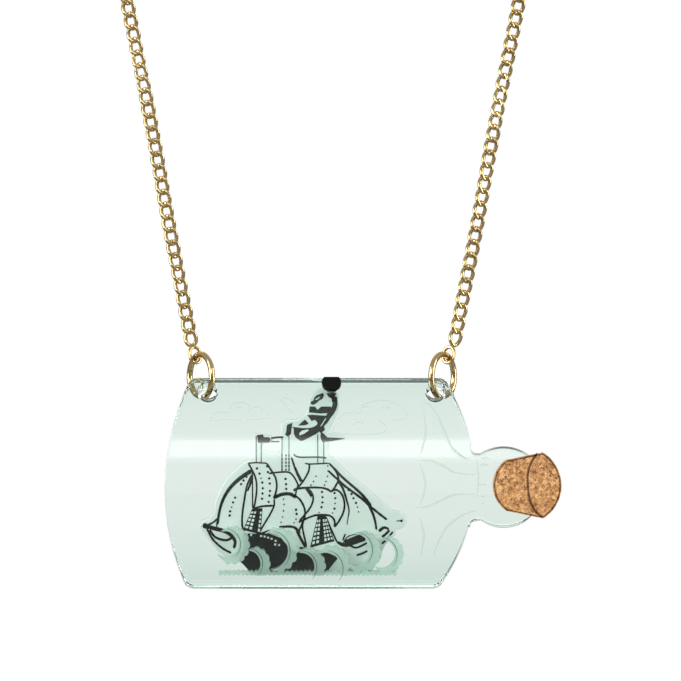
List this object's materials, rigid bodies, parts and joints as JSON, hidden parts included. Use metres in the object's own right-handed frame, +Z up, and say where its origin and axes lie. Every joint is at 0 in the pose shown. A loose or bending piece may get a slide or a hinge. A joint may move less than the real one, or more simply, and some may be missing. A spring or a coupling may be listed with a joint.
{
  "type": "ship in a bottle necklace",
  "caption": "Curved clear bottle pendant with a sailing ship, waves and a cork, hung by two jump rings from a curb chain that is closed by a lobster clasp.",
  "frame": {"origin": "centre of the neck that the chain hangs round, at the height where the chain is widest", "axes": "+Z up, the bottle's curved front faces -Y, its neck and cork point to +X"},
  "size_m": [0.0912, 0.0382, 0.2194],
  "materials": {
    "clear_mint_acrylic": "polished clear acrylic with a faint mint tint",
    "ship_acrylic": "pale frosted acrylic with ink-filled lines",
    "mint_acrylic": "pale mint acrylic with engraved lines",
    "black_stud": "smooth black",
    "cork": "matte agglomerated cork with a scorched edge",
    "gold_plate": "polished gold plate",
    "spring_steel": "bright"
  },
  "bodies": {
    "necklace": {"chain_left": "gold_plate", "chain_right": "gold_plate", "end_link_left": "gold_plate", "end_link_right": "gold_plate", "clasp_body": "gold_plate", "clasp_pin": "gold_plate", "clasp_spring": "spring_steel", "clasp_ring": "gold_plate", "catch_ring": "gold_plate"},
    "left_ring": {"ring_left": "gold_plate"},
    "right_ring": {"ring_right": "gold_plate"},
    "pendant": {"bottle": "clear_mint_acrylic", "ship_plate": "ship_acrylic", "wave_plate": "mint_acrylic", "top_stud": "black_stud", "cork_stopper": "cork"},
    "lever": {"clasp_lever": "gold_plate"}
  },
  "joints": [
    {"name": "ring_swing", "type": "hinge", "parent": "necklace", "child": "left_ring", "pos_m": [-0.0256, -0.02813, -0.10476], "axis": [1, 0, 0], "range_deg": [-10, 20]},
    {"name": "right_ring_swing", "type": "hinge", "parent": "necklace", "child": "right_ring", "pos_m": [0.0251, -0.02813, -0.10476], "axis": [1, 0, 0], "range_deg": [-10, 20]},
    {"name": "pendant_swing", "type": "hinge", "parent": "left_ring", "child": "pendant", "pos_m": [0, -0.03245, -0.11189], "axis": [1, 0, 0], "range_deg": [-12, 8]},
    {"name": "clasp_lever", "type": "hinge", "parent": "necklace", "child": "lever", "pos_m": [-0.0005, -0.0065, 0.0643], "axis": [0, -1, 0], "range_deg": [0, 20], "stiffness_Nm_per_rad": 0.002, "springref_deg": -5.73}
  ],
  "couplings": [
    {"joint": "right_ring_swing", "follows": "ring_swing", "ratio": 1}
  ]
}
